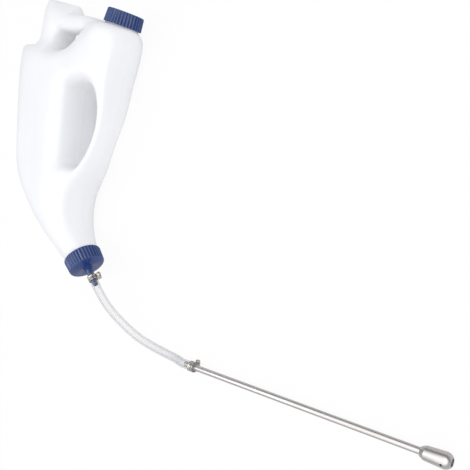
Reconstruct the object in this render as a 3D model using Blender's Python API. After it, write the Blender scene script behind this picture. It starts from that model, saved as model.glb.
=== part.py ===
# Drenching bottle lying on its flat side: blow-moulded bottle, two screw caps, hose and steel probe.
# Metres, +Z up. The origin is on the bottle's flat resting side, beside the grip opening.
# +Y runs up the bottle towards its filler end, and +X points to the side where the probe lies.

import math
import bpy
import bmesh
from mathutils import Matrix, Vector

# Clearance between pieces that touch on the real object
GAP = 0.0003
# How far the flats of a many-sided round wall may lie inside its circle
FACET_SAG = 0.0004
# Points closer than this are one point
WELD = 0.000005
# A cutter runs this far past the faces that it opens
OVERRUN = 0.004

# Bottle
BOTTLE_THICKNESS = 0.100
BOTTLE_WALL = 0.0025
HALF = BOTTLE_THICKNESS / 2
MID_Z = HALF
RIM_BULGE = 0.2
RIM_RISE = 0.6
MITER_LEAST = 0.68
# How sharp the smoothed outline stays at its corners, from 0 to 1
SHOULDER_CREASE = 0.7
POST_CREASE = 0.8
POST_FOOT_CREASE = 0.4
HEAD_CREASE = 0.7
NOTCH_CREASE = 0.5

# Necks: the point on each axis where the shoulder ends, and the tilt of the axis from the Y axis
FILLER_BASE = Vector((0.1402, 0.1705, MID_Z))
FILLER_TILT = math.radians(22.5)
OUTLET_BASE = Vector((0.0620, -0.2132, MID_Z))
OUTLET_TILT = math.radians(37.5)
NECK_RADIUS = 0.0275
NECK_FILLET = 0.0015
THREAD_PITCH = 0.006
THREAD_TURNS = 1.5
THREAD_DEPTH = 0.0015
THREAD_CLEARANCE = 0.0006
THREAD_START = 0.006
THREAD_LEAD_IN = math.radians(40)
THREAD_BASE_WIDTH = 0.0026
THREAD_CREST_WIDTH = 0.0011
THREAD_ROOT = 0.0009
THREAD_DIP = 0.25
THREAD_STEPS = 24
CAP_THREAD_START = math.radians(60)

# Screw caps
CAP_RADIUS = 0.0325
CAP_TOP_RADIUS = 0.0312
CAP_DEPTH = 0.0211
CAP_TOP_WALL = 0.0024
CAP_EDGE = 0.0024
CAP_EDGE_CUT = CAP_EDGE * 0.3
CAP_RIBS = 36
CAP_RIB_DEPTH = 0.0009
SKIRT_GAP = 0.001
SEAL_THICKNESS = 0.0015
SEAL_MARGIN = 0.0012

# Outlet nozzle and the boss that it turns in
FLANGE_THICKNESS = 0.002
BOSS_RADIUS = 0.0086
BOSS_STEP_RADIUS = 0.0074
BOSS_HEIGHT = 0.0060
BOSS_STEP = 0.0032
NOZZLE_RADIUS = 0.0060
NOZZLE_REACH = 0.0165
NOZZLE_BORE = 0.0033
SPIGOT_LENGTH = 0.0215
SPIGOT_NOSE = 0.0012
SPIGOT_NOSE_CUT = 0.0008

# Hose, its inner radius and the two ends that it is pushed over
HOSE_RADIUS = 0.0070
HOSE_BORE = 0.0050
SPIGOT_RADIUS = HOSE_BORE - GAP
PROBE_RADIUS = HOSE_BORE - GAP
PROBE_GRIP = 0.022
HOSE_LEAD = 0.003
HOSE_STEP = 0.009
HOSE_BORE_SAG = 0.00015

# Clamps
CLAMP_WIDTH = 0.009
CLAMP_BAND = 0.0008
CLAMP_INSET = 0.003
HOUSING_LENGTH = 0.0105
HOUSING_WIDTH = 0.0086
HOUSING_HEIGHT = 0.0062
HOUSING_ROUND = HOUSING_HEIGHT * 0.38
SCREW_RADIUS = 0.0020
SCREW_HEAD_RADIUS = 0.0036
SCREW_HEAD_LENGTH = 0.0040
SCREW_HEAD_EDGE = 0.0006
SCREW_TIP = 0.0022
SCREW_TIP_RADIUS = 0.0012
SLOT_WIDTH = 0.0009
SLOT_DEPTH = 0.0012
UPPER_CLAMP_TURN = math.radians(-45)
LOWER_CLAMP_TURN = math.radians(-90)

# Probe
PROBE_WALL = 0.0010
PROBE_TURN = math.radians(-9.6)
PROBE_START = Vector((0.2968, -0.3828, 0))
PROBE_FREE_LENGTH = 0.3667
TIP_LENGTH = 0.0405
TIP_RADIUS = 0.0108
TIP_REAR_RADIUS = 0.0094
TIP_CHAMFER = 0.0060
TIP_CHAMFER_CUT = 0.0030
TIP_DOME = 0.0092
TIP_DOME_TURN = math.radians(68)
TIP_HOLE_EDGE = 0.0004
TIP_SOCKET = 0.0120
TIP_HOLE = 0.0042
TIP_SIDE_HOLE = 0.0018
TIP_SIDE_HOLE_BACK = 0.0105
TIP_SIDE_HOLE_TURN = math.radians(25)

# Colours
WHITE = (0.93, 0.93, 0.95)
BLUE = (0.020, 0.065, 0.300)
STEEL = (0.62, 0.59, 0.57)
CLEAR = (0.85, 0.87, 0.88)
RUBBER = (0.80, 0.80, 0.78)

# Face points of the bottle seen in plan: x, y, and the height over the middle plane as a share of
# half the thickness.
# Rows run down the bottle, each from the outer left edge to the right edge.
ROWS = [
    [(-.074, .168, 0.92), (-.047, .158, 0.98), (-.016, .142, 1.00), (.022, .133, 1.00),
     (.056, .135, 1.00), (.084, .135, 1.00), (.113, .124, 1.00), (.150, .116, 0.82)],
    [(-.0765, .118, 1.00), (-.048, .118, 1.06), (-.012, .114, 1.06), (.028, .110, 1.06),
     (.056, .110, 1.06), (.084, .108, 1.04), (.114, .098, 0.96), (.143, .093, 0.80)],
    [(-.077, .075, 1.00), (-.050, .075, 1.06), (-.010, .077, 1.06), (.040, .080, 1.00),
     (.062, .088, 1.00), (.092, .088, 0.96), (.116, .076, 0.82), (.136, .070, 0.74)],
    [(-.077, .035, 1.00), (-.051, .035, 1.06), (-.016, .036, 1.06), (.041, .040, 1.00),
     None, None, (.121, .038, 0.66), (.1325, .036, 0.66)],
    [(-.076, -.005, 1.00), (-.051, -.005, 1.06), (-.018, .000, 1.06), (.037, .003, 1.00),
     None, None, (.113, .003, 0.54), (.1225, .002, 0.54)],
    [(-.075, -.042, 1.00), (-.050, -.040, 1.06), (-.018, -.036, 1.06), (.035, -.032, 1.00),
     None, None, (.098, -.030, 0.50), (.1065, -.031, 0.50)],
    [(-.067, -.075, 1.00), (-.045, -.074, 1.04), (-.016, -.072, 1.04), (.028, -.064, 1.00),
     (.048, -.068, 0.92), (.064, -.072, 0.80), (.077, -.070, 0.68), (.088, -.070, 0.60)],
    [(-.047, -.106, 0.94), (-.033, -.106, 1.00), (-.015, -.106, 1.00), (.004, -.104, 1.00),
     (.022, -.102, 0.98), (.036, -.100, 0.92), (.047, -.098, 0.84), (.056, -.096, 0.72)],
    [(-.027, -.140, 0.84), (-.017, -.141, 0.92), (-.006, -.142, 0.94), (.007, -.141, 0.94),
     (.019, -.138, 0.92), (.030, -.136, 0.90), (.038, -.133, 0.84), (.046, -.130, 0.72)],
    [(-.002, -.172, 0.70), (.006, -.175, 0.76), (.015, -.176, 0.80), (.025, -.176, 0.82),
     (.034, -.174, 0.82), (.042, -.172, 0.80), (.0485, -.169, 0.72), (.054, -.167, 0.60)],
]
# The column under the filler neck, from the finger opening to the right edge
COLUMN = [
    [(.083, .175, 0.56), (.097, .160, 0.98), (.125, .146, 1.00), (.156, .136, 0.80)],
    [(.099, .184, 0.51), (.111, .173, 0.90), (.137, .162, 0.96), (.158, .153, 0.76)],
]
# The top handle: a post from the shoulder, a head with a sloped far side, and a bar back to the column
POST = [
    [(-.0465, .172, 0.57), (-.010, .166, 0.58)],
    [(-.043, .210, 0.55), (-.008, .195, 0.57)],
]
CROWN = [(-.038, .232, 0.54), (-.006, .219, 0.56)]
HEAD = [(-.037, .248, 0.44), (-.002, .2375, 0.22), (.0285, .2265, 0.18)]
BAR = [
    [(.014, .187, 0.57), (.024, .207, 0.54)],
    [(.036, .182, 0.57), (.043, .203, 0.53)],
    [(.060, .177, 0.57), (.063, .198, 0.53)],
]

# Route of the hose between the straight ends, points chosen by hand along its middle line
HOSE_ROUTE = [
    (.1189, -.2907, .0453), (.1342, -.3112, .0368), (.1509, -.3294, .0265), (.1693, -.3457, .0168),
    (.1925, -.3578, .0098), (.2215, -.3673, .0074), (.2460, -.3733, .0085),
]


def material(name, colour, roughness, metallic=0.0, alpha=1.0):
    made = bpy.data.materials.new(name)
    made.use_nodes = True
    shader = made.node_tree.nodes["Principled BSDF"]
    shader.inputs["Base Color"].default_value = (*colour, 1)
    shader.inputs["Roughness"].default_value = roughness
    shader.inputs["Metallic"].default_value = metallic
    shader.inputs["Alpha"].default_value = alpha
    made.diffuse_color = (*colour, alpha)
    return made


def add_object(name, mesh, place, paint=None, smooth=40):
    made = bpy.data.objects.new(name, mesh)
    bpy.context.collection.objects.link(made)
    made.matrix_world = place
    if paint:
        mesh.materials.append(paint)
    if smooth:
        mesh.shade_smooth()
        mesh.set_sharp_from_angle(angle=math.radians(smooth))
    return made


def mesh_from(name, bm):
    mesh = bpy.data.meshes.new(name)
    bm.to_mesh(mesh)
    bm.free()
    return mesh


def evaluated_mesh(obj):
    graph = bpy.context.evaluated_depsgraph_get()
    return bpy.data.meshes.new_from_object(obj.evaluated_get(graph))


def boolean(obj, other, operation):
    change = obj.modifiers.new(operation.title(), "BOOLEAN")
    change.operation = operation
    change.solver = "EXACT"
    change.object = other
    other.hide_render = True
    other.display_type = "WIRE"


def turned(profile, steps):
    # A closed solid from (radius, height) points that start and end on the axis or form a loop
    bm = bmesh.new()
    on_axis = profile[0][0] == 0
    verts = [bm.verts.new((r, 0, z)) for r, z in profile]
    edges = [bm.edges.new(pair) for pair in zip(verts, verts[1:])]
    if not on_axis:
        edges.append(bm.edges.new((verts[-1], verts[0])))
    bmesh.ops.spin(bm, geom=verts + edges, cent=(0, 0, 0), axis=(0, 0, 1),
                   angle=2 * math.pi, steps=steps, use_merge=True)
    bmesh.ops.remove_doubles(bm, verts=bm.verts, dist=WELD)
    bmesh.ops.recalc_face_normals(bm, faces=bm.faces)
    if bm.calc_volume(signed=True) < 0:
        bmesh.ops.reverse_faces(bm, faces=bm.faces)
    return bm


def axis_place(base, direction, up=(0, 0, 1)):
    # A frame whose +Z runs along the direction and whose +Y leans towards up
    z = Vector(direction).normalized()
    x = Vector(up).cross(z).normalized()
    y = z.cross(x)
    turn = Matrix((x, y, z)).transposed().to_4x4()
    return Matrix.Translation(base) @ turn


filler_axis = Vector((math.sin(FILLER_TILT), math.cos(FILLER_TILT), 0))
outlet_axis = Vector((math.sin(OUTLET_TILT), -math.cos(OUTLET_TILT), 0))
filler_place = axis_place(FILLER_BASE, filler_axis)
outlet_place = axis_place(OUTLET_BASE, outlet_axis)

cap_inside = SKIRT_GAP + CAP_DEPTH
cap_top = cap_inside + CAP_TOP_WALL
filler_neck_length = cap_inside - GAP - SEAL_THICKNESS - GAP
flange_base = cap_inside - GAP - FLANGE_THICKNESS
outlet_neck_length = flange_base - GAP - SEAL_THICKNESS - GAP
cap_bore = NECK_RADIUS + THREAD_DEPTH + THREAD_CLEARANCE


def thread(wall, crest, start, offset):
    # A helical ridge from the wall to the crest, sunk into the wall and run out at both ends
    bm = bmesh.new()
    steps = round(THREAD_STEPS * THREAD_TURNS)
    sunk = wall + (wall - crest) / abs(wall - crest) * THREAD_ROOT
    rings = []
    for i in range(steps + 1):
        turn = offset + 2 * math.pi * THREAD_TURNS * i / steps
        passed = 2 * math.pi * THREAD_TURNS * min(i, steps - i) / steps
        share = min(1.0, passed / THREAD_LEAD_IN)
        reach = wall + (crest - wall) * ((1 + THREAD_DIP) * share - THREAD_DIP)
        height = start + THREAD_PITCH * turn / (2 * math.pi)
        corners = [(sunk, -THREAD_BASE_WIDTH / 2), (reach, -THREAD_CREST_WIDTH / 2),
                   (reach, THREAD_CREST_WIDTH / 2), (sunk, THREAD_BASE_WIDTH / 2)]
        rings.append([bm.verts.new((r * math.cos(turn), r * math.sin(turn), height + z))
                      for r, z in corners])
    for a, b in zip(rings, rings[1:]):
        for i in range(4):
            bm.faces.new((a[i], a[(i + 1) % 4], b[(i + 1) % 4], b[i]))
    bm.faces.new(rings[0])
    bm.faces.new(reversed(rings[-1]))
    bmesh.ops.recalc_face_normals(bm, faces=bm.faces)
    return mesh_from("thread", bm)


def male_thread(name, place):
    mesh = thread(NECK_RADIUS - FACET_SAG, NECK_RADIUS + THREAD_DEPTH, THREAD_START, 0)
    return add_object(name, mesh, place, smooth=0)


def female_thread(name, place):
    mesh = thread(cap_bore, cap_bore - THREAD_DEPTH, THREAD_START - THREAD_PITCH / 2, CAP_THREAD_START)
    return add_object(name, mesh, place, smooth=0)


def outward_rims(bm, chain, closed, side, sheet_side):
    # One vertex beside each face point, pushed away from the sheet and back towards the middle plane
    rims = []
    count = len(chain)
    for i, point in enumerate(chain):
        before = chain[i - 1] if closed or i > 0 else point
        after = chain[(i + 1) % count] if closed or i < count - 1 else point
        along = (after.co - before.co).to_2d().normalized()
        out = Vector((along.y, -along.x)) * side
        # A corner reaches further out, so that the wall keeps its distance on both of its sides
        near = (after.co - point.co).to_2d() if after is not point else (point.co - before.co).to_2d()
        miter = max(out.dot(Vector((near.y, -near.x)).normalized() * side), MITER_LEAST)
        spot = point.co.to_2d() + out * RIM_BULGE * abs(point.co.z) / miter
        rims.append(bm.verts.new((spot.x, spot.y, abs(point.co.z) * RIM_RISE * sheet_side)))
    return rims


def neck_ring(bm, place, radius, height, count):
    # A control ring whose smoothed form is a circle of that radius, turned by half a step
    shrink = (2 + math.cos(2 * math.pi / count)) / 3
    starts_left = place.col[0].x < 0
    ring = []
    for i in range(count):
        turn = 2 * math.pi * (i + 0.5) / count
        if not starts_left:
            turn = math.pi - turn
        spot = place @ Vector((radius / shrink * math.cos(turn), radius / shrink * math.sin(turn), height))
        ring.append(bm.verts.new((spot.x, spot.y, spot.z - MID_Z)))
    return ring


def bridge(bm, a, b):
    for i in range(len(a)):
        j = (i + 1) % len(a)
        bm.faces.new((a[i], a[j], b[j], b[i]))


def add_neck(bm, loop, place, length):
    count = len(loop)
    last = loop
    levels = [(NECK_RADIUS + NECK_FILLET, -NECK_FILLET / 2), (NECK_RADIUS + NECK_FILLET * 0.2, 0.0004),
              (NECK_RADIUS, 0.002), (NECK_RADIUS, length * 0.5), (NECK_RADIUS, length)]
    for radius, height in levels:
        ring = neck_ring(bm, place, radius, height, count)
        bridge(bm, last, ring)
        last = ring


def bottle_cage():
    bm = bmesh.new()

    def point(spot, side):
        return bm.verts.new((spot[0], spot[1], spot[2] * HALF * side))

    sheets, creases = [], {}
    for side in (1, -1):
        rows = [[point(p, side) if p else None for p in row] for row in ROWS]
        column = [[point(p, side) for p in row] for row in COLUMN]
        post = [[point(p, side) for p in row] for row in POST]
        crown = [point(p, side) for p in CROWN]
        head = [point(p, side) for p in HEAD]
        bar = [[point(p, side) for p in row] for row in BAR]
        faces = []
        for upper, lower in zip(rows, rows[1:]):
            for i in range(7):
                corners = (upper[i], upper[i + 1], lower[i + 1], lower[i])
                if None not in corners:
                    faces.append(corners)
        top = rows[0]
        faces.append((top[1], top[2], post[0][1], post[0][0]))
        faces.append((post[0][0], post[0][1], post[1][1], post[1][0]))
        faces.append((post[1][0], post[1][1], crown[1], crown[0]))
        faces.append((post[1][1], bar[0][0], bar[0][1], crown[1]))
        faces.append((crown[0], crown[1], head[1], head[0]))
        faces.append((crown[1], bar[0][1], head[2], head[1]))
        for a, b in zip(bar, bar[1:] + [[column[0][0], column[1][0]]]):
            faces.append((a[0], b[0], b[1], a[1]))
        for lower, upper in ((top[4:], column[0]), (column[0], column[1])):
            for i in range(3):
                faces.append((lower[i], lower[i + 1], upper[i + 1], upper[i]))
        for corners in faces:
            bm.faces.new(corners)
        left = ([column[1][0]] + [pair[1] for pair in reversed(bar)] + head[::-1]
                + [crown[0], post[1][0], post[0][0], top[1]] + [row[0] for row in rows])
        right = [column[1][3], column[0][3]] + [row[7] for row in rows]
        grip = ([row[3] for row in rows[2:7]] + [rows[6][4], rows[6][5]]
                + [row[6] for row in rows[6:1:-1]] + [rows[2][5], rows[2][4]])
        finger = [top[2], post[0][1], post[1][1]] + [pair[0] for pair in bar] + [column[0][0], top[4], top[3]]
        sheets.append((rows, column, left, right, grip, finger))
        creases.update({top[0]: SHOULDER_CREASE, top[1]: POST_CREASE, post[0][0]: POST_FOOT_CREASE,
                        head[0]: HEAD_CREASE, head[2]: HEAD_CREASE, bar[0][1]: NOTCH_CREASE})

    crease = bm.edges.layers.float.new("crease_edge")
    rim_rows = []
    upper, lower = sheets
    for index, closed, side in ((2, False, 1), (3, False, -1), (4, True, -1), (5, True, 1)):
        strips = [upper[index], outward_rims(bm, upper[index], closed, side, 1),
                  outward_rims(bm, lower[index], closed, side, -1), lower[index]]
        rim_rows.append(strips[1:3])
        count = len(upper[index])
        for a, b in zip(strips, strips[1:]):
            for i in range(count if closed else count - 1):
                j = (i + 1) % count
                bm.faces.new((a[i], a[j], b[j], b[i]))
            for first, second, corner in zip(a, b, upper[index]):
                bm.edges.get((first, second))[crease] = creases.get(corner, 0)

    (left_up, left_down), (right_up, right_down) = rim_rows[:2]
    filler_loop = ([left_up[0]] + upper[1][1] + [right_up[0], right_down[0]] + lower[1][1][::-1]
                   + [left_down[0]])
    outlet_loop = ([left_up[-1]] + upper[0][-1] + [right_up[-1], right_down[-1]] + lower[0][-1][::-1]
                   + [left_down[-1]])
    add_neck(bm, filler_loop, filler_place, filler_neck_length)
    add_neck(bm, outlet_loop, outlet_place, outlet_neck_length)
    bmesh.ops.recalc_face_normals(bm, faces=bm.faces)
    if bm.calc_volume(signed=True) < 0:
        bmesh.ops.reverse_faces(bm, faces=bm.faces)
    return mesh_from("bottle_cage", bm)


def build_bottle(paint):
    cage = add_object("bottle_cage", bottle_cage(), Matrix.Translation((0, 0, MID_Z)), smooth=0)
    soften = cage.modifiers.new("Soften", "SUBSURF")
    soften.levels = 1
    soften.render_levels = 1
    mesh = evaluated_mesh(cage)
    cage.hide_render = True
    cage.display_type = "WIRE"
    # The two sides are moulded flat where they would bulge past the thickness
    for vert in mesh.vertices:
        vert.co.z = max(-HALF, min(HALF, vert.co.z))
    bottle = add_object("bottle", mesh, Matrix.Translation((0, 0, MID_Z)), paint, smooth=60)
    shell = bottle.modifiers.new("Wall", "SOLIDIFY")
    shell.thickness = BOTTLE_WALL
    shell.offset = -1
    shell.use_rim = True
    boolean(bottle, male_thread("filler_thread", filler_place), "UNION")
    boolean(bottle, male_thread("outlet_thread", outlet_place), "UNION")
    return bottle


def ribbed_cap(boss):
    # The outside of a cap: a ribbed skirt, a rounded edge and a flat end, with a boss or without
    bm = bmesh.new()
    sides = CAP_RIBS * 2
    levels = [(CAP_RADIUS, SKIRT_GAP, 1), (CAP_TOP_RADIUS, cap_top - CAP_EDGE, 1),
              (CAP_TOP_RADIUS - CAP_EDGE_CUT, cap_top - CAP_EDGE_CUT, 0),
              (CAP_TOP_RADIUS - CAP_EDGE, cap_top, 0)]
    if boss:
        levels += [(BOSS_RADIUS, cap_top, 0), (BOSS_RADIUS, cap_top + BOSS_STEP, 0),
                   (BOSS_STEP_RADIUS, cap_top + BOSS_STEP, 0), (BOSS_STEP_RADIUS, cap_top + BOSS_HEIGHT, 0)]
    rings = []
    for radius, height, ribbed in levels:
        ring = []
        for i in range(sides):
            turn = 2 * math.pi * i / sides
            r = radius - (CAP_RIB_DEPTH if ribbed and i % 2 else 0)
            ring.append(bm.verts.new((r * math.cos(turn), r * math.sin(turn), height)))
        rings.append(ring)
    for a, b in zip(rings, rings[1:]):
        bridge(bm, a, b)
    bm.faces.new(rings[0])
    bm.faces.new(rings[-1])
    bmesh.ops.recalc_face_normals(bm, faces=bm.faces)
    return mesh_from("cap", bm)


def build_cap(name, place, paint, boss):
    cap = add_object(name, ribbed_cap(boss), place, paint, smooth=30)
    below = SKIRT_GAP - OVERRUN
    inside = [(0, below), (cap_bore, below), (cap_bore, cap_inside), (0, cap_inside)]
    hollow = add_object(name + "_hollow", mesh_from("hollow", turned(inside, 48)), place, smooth=0)
    boolean(cap, hollow, "DIFFERENCE")
    if boss:
        hole = NOZZLE_RADIUS + GAP
        above = cap_top + BOSS_HEIGHT + OVERRUN
        through = [(0, 0), (hole, 0), (hole, above), (0, above)]
        bore = add_object(name + "_bore", mesh_from("bore", turned(through, 32)), place, smooth=0)
        boolean(cap, bore, "DIFFERENCE")
    boolean(cap, female_thread(name + "_thread", place), "UNION")
    return cap


def build_nozzle(paint):
    reach = cap_top + NOZZLE_REACH
    flange = cap_bore - THREAD_DEPTH - 2 * GAP
    tip = reach + SPIGOT_LENGTH
    profile = [(NOZZLE_BORE, flange_base), (flange, flange_base), (flange, flange_base + FLANGE_THICKNESS),
               (NOZZLE_RADIUS, flange_base + FLANGE_THICKNESS), (NOZZLE_RADIUS, reach),
               (SPIGOT_RADIUS, reach), (SPIGOT_RADIUS, tip - SPIGOT_NOSE),
               (SPIGOT_RADIUS - SPIGOT_NOSE_CUT, tip),
               (NOZZLE_BORE, tip)]
    return add_object("outlet_nozzle", mesh_from("nozzle", turned(profile, 32)), outlet_place, paint)


def smooth_route(points, spacing):
    # Even points along a smooth curve through the chosen ones
    dense = []
    padded = [points[0] * 2 - points[1]] + points + [points[-1] * 2 - points[-2]]
    for a, b, c, d in zip(padded, padded[1:], padded[2:], padded[3:]):
        for i in range(24):
            t = i / 24
            dense.append(0.5 * (2 * b + (c - a) * t + (2 * a - 5 * b + 4 * c - d) * t * t
                                + (3 * b - a - 3 * c + d) * t ** 3))
    dense.append(points[-1])
    total = sum((q - p).length for p, q in zip(dense, dense[1:]))
    count = round(total / spacing)
    even, walked, target = [dense[0]], 0.0, total / count
    for p, q in zip(dense, dense[1:]):
        step = (q - p).length
        while walked + step >= target * len(even) and len(even) < count:
            even.append(p.lerp(q, (target * len(even) - walked) / step))
        walked += step
    even.append(dense[-1])
    return even, total


def tube(name, points, radius, roundness):
    curve = bpy.data.curves.new(name, "CURVE")
    curve.dimensions = "3D"
    curve.bevel_depth = radius
    curve.bevel_resolution = roundness
    curve.use_fill_caps = True
    spline = curve.splines.new("POLY")
    spline.points.add(len(points) - 1)
    for spot, p in zip(spline.points, points):
        spot.co = (*p, 1)
    made = bpy.data.objects.new(name, curve)
    bpy.context.collection.objects.link(made)
    made.hide_render = True
    made.display_type = "WIRE"
    return made


clamp_seat = HOSE_RADIUS + GAP + CLAMP_BAND + GAP
screw_height = clamp_seat + HOUSING_HEIGHT / 2
clamp_reach = screw_height + SCREW_HEAD_RADIUS
probe_rise = TIP_RADIUS - clamp_reach
probe_length = PROBE_FREE_LENGTH + TIP_LENGTH
probe_flat = Vector((math.cos(PROBE_TURN), math.sin(PROBE_TURN), 0))
probe_start = Vector((PROBE_START.x, PROBE_START.y, clamp_reach + GAP))
probe_axis = (probe_flat * probe_length + Vector((0, 0, probe_rise))).normalized()
probe_place = axis_place(probe_start, probe_axis)

hose_start = OUTLET_BASE + outlet_axis * (cap_top + NOZZLE_REACH + GAP)
hose_end = probe_start


def build_hose(paint):
    route = [hose_start + outlet_axis * reach
             for reach in (0, SPIGOT_LENGTH / 2, SPIGOT_LENGTH + HOSE_LEAD, SPIGOT_LENGTH + 2 * HOSE_LEAD)]
    route += [Vector(p) for p in HOSE_ROUTE]
    route += [hose_end - probe_axis * back
              for back in (PROBE_GRIP + 2 * HOSE_LEAD, PROBE_GRIP + HOSE_LEAD, PROBE_GRIP / 2, 0)]
    points, length = smooth_route(route, HOSE_STEP)
    print("hose length", round(length, 4))
    inner = [points[0] - outlet_axis * OVERRUN] + points + [points[-1] + probe_axis * OVERRUN]
    outer_mesh = evaluated_mesh(tube("hose_route", points, HOSE_RADIUS, 4))
    bore_mesh = evaluated_mesh(tube("hose_bore_route", inner, HOSE_BORE + HOSE_BORE_SAG, 3))
    for mesh in (outer_mesh, bore_mesh):
        bm = bmesh.new()
        bm.from_mesh(mesh)
        bmesh.ops.remove_doubles(bm, verts=bm.verts, dist=WELD)
        bmesh.ops.recalc_face_normals(bm, faces=bm.faces)
        bm.to_mesh(mesh)
        bm.free()
    hose = add_object("hose", outer_mesh, Matrix.Identity(4), paint)
    boolean(hose, add_object("hose_bore", bore_mesh, Matrix.Identity(4), smooth=0), "DIFFERENCE")
    return hose


def build_clamp(prefix, centre, axis, turn, steel):
    # A worm clamp: the band round the hose, a housing on it and the slotted worm screw
    place = axis_place(centre, axis) @ Matrix.Rotation(turn, 4, "Z")
    inner = HOSE_RADIUS + GAP
    half = CLAMP_WIDTH / 2
    band = [(inner, -half), (inner + CLAMP_BAND, -half), (inner + CLAMP_BAND, half), (inner, half)]
    add_object(prefix + "_clamp_band", mesh_from("band", turned(band, 32)), place, steel)

    bm = bmesh.new()
    bmesh.ops.create_cube(bm, size=1)
    bmesh.ops.scale(bm, vec=(HOUSING_HEIGHT, HOUSING_LENGTH, HOUSING_WIDTH), verts=bm.verts)
    bmesh.ops.translate(bm, vec=(screw_height, 0, 0), verts=bm.verts)
    ridge = [e for e in bm.edges if all(v.co.x > screw_height for v in e.verts)
             and abs(e.verts[0].co.y - e.verts[1].co.y) > HOUSING_LENGTH / 2]
    bmesh.ops.bevel(bm, geom=ridge, offset=HOUSING_ROUND, segments=3, profile=0.5,
                    affect="EDGES", material=-1)
    housing = add_object(prefix + "_clamp_housing", mesh_from("housing", bm), place, steel)
    seat_cut = [(0, -half * 2), (clamp_seat, -half * 2), (clamp_seat, half * 2), (0, half * 2)]
    saddle = add_object(prefix + "_saddle", mesh_from("saddle", turned(seat_cut, 48)), place, smooth=0)
    boolean(housing, saddle, "DIFFERENCE")

    bolt_place = place @ Matrix.Translation((screw_height, 0, 0)) @ Matrix.Rotation(math.radians(-90), 4, "X")
    hole = SCREW_RADIUS + GAP
    reach = HOUSING_LENGTH
    passage = [(0, -reach), (hole, -reach), (hole, reach), (0, reach)]
    cutter = add_object(prefix + "_screw_hole", mesh_from("hole", turned(passage, 24)), bolt_place, smooth=0)
    boolean(housing, cutter, "DIFFERENCE")

    near = HOUSING_LENGTH / 2 + GAP
    top = near + SCREW_HEAD_LENGTH
    shank = [(0, -near - SCREW_TIP), (SCREW_TIP_RADIUS, -near - SCREW_TIP), (SCREW_RADIUS, -near),
             (SCREW_RADIUS, near), (SCREW_HEAD_RADIUS, near), (SCREW_HEAD_RADIUS, top - SCREW_HEAD_EDGE),
             (SCREW_HEAD_RADIUS - SCREW_HEAD_EDGE, top), (0, top)]
    screw = add_object(prefix + "_clamp_screw", mesh_from("screw", turned(shank, 24)), bolt_place, steel)
    bm = bmesh.new()
    bmesh.ops.create_cube(bm, size=1)
    bmesh.ops.scale(bm, vec=(SCREW_HEAD_RADIUS * 3, SLOT_WIDTH, SLOT_DEPTH * 2), verts=bm.verts)
    bmesh.ops.translate(bm, vec=(0, 0, top), verts=bm.verts)
    slot = add_object(prefix + "_screw_slot", mesh_from("slot", bm), bolt_place, smooth=0)
    boolean(screw, slot, "DIFFERENCE")
    return place, bolt_place


def build_probe(steel):
    inner = PROBE_RADIUS - PROBE_WALL
    socket_end = PROBE_FREE_LENGTH + TIP_SOCKET
    tube_profile = [(inner, -PROBE_GRIP), (PROBE_RADIUS, -PROBE_GRIP),
                    (PROBE_RADIUS, socket_end - GAP), (inner, socket_end - GAP)]
    add_object("probe_tube", mesh_from("probe_tube", turned(tube_profile, 32)), probe_place, steel)

    rear = PROBE_FREE_LENGTH
    front = rear + TIP_LENGTH
    socket = PROBE_RADIUS + GAP
    outline = [(TIP_HOLE, socket_end), (socket, socket_end), (socket, rear),
               (TIP_REAR_RADIUS - TIP_CHAMFER_CUT, rear), (TIP_REAR_RADIUS, rear + TIP_CHAMFER),
               (TIP_RADIUS, front - TIP_DOME)]
    for i in range(1, 7):
        turn = TIP_DOME_TURN * i / 6
        rise = TIP_DOME * math.sin(turn) / math.sin(TIP_DOME_TURN)
        outline.append((max(TIP_RADIUS * math.cos(turn), TIP_HOLE + TIP_HOLE_EDGE), front - TIP_DOME + rise))
    outline.append((TIP_HOLE, front))
    tip = add_object("probe_tip", mesh_from("probe_tip", turned(outline, 32)), probe_place, steel)
    reach = TIP_RADIUS + OVERRUN
    across = [(0, -reach), (TIP_SIDE_HOLE, -reach), (TIP_SIDE_HOLE, reach), (0, reach)]
    hole_place = (probe_place @ Matrix.Translation((0, 0, front - TIP_SIDE_HOLE_BACK))
                  @ Matrix.Rotation(TIP_SIDE_HOLE_TURN, 4, "Z") @ Matrix.Rotation(math.radians(90), 4, "X"))
    drill = add_object("side_hole", mesh_from("side_hole", turned(across, 16)), hole_place, smooth=0)
    boolean(tip, drill, "DIFFERENCE")


def build_seals(paint):
    inner_fit = cap_bore - THREAD_DEPTH - 2 * GAP
    base = filler_neck_length + GAP
    disc = [(0, base), (inner_fit, base), (inner_fit, base + SEAL_THICKNESS), (0, base + SEAL_THICKNESS)]
    add_object("filler_seal", mesh_from("filler_seal", turned(disc, 40)), filler_place, paint)
    base = outlet_neck_length + GAP
    bore = NECK_RADIUS - BOTTLE_WALL - SEAL_MARGIN
    ring = [(bore, base), (inner_fit, base), (inner_fit, base + SEAL_THICKNESS), (bore, base + SEAL_THICKNESS)]
    add_object("outlet_seal", mesh_from("outlet_seal", turned(ring, 40)), outlet_place, paint)


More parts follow.
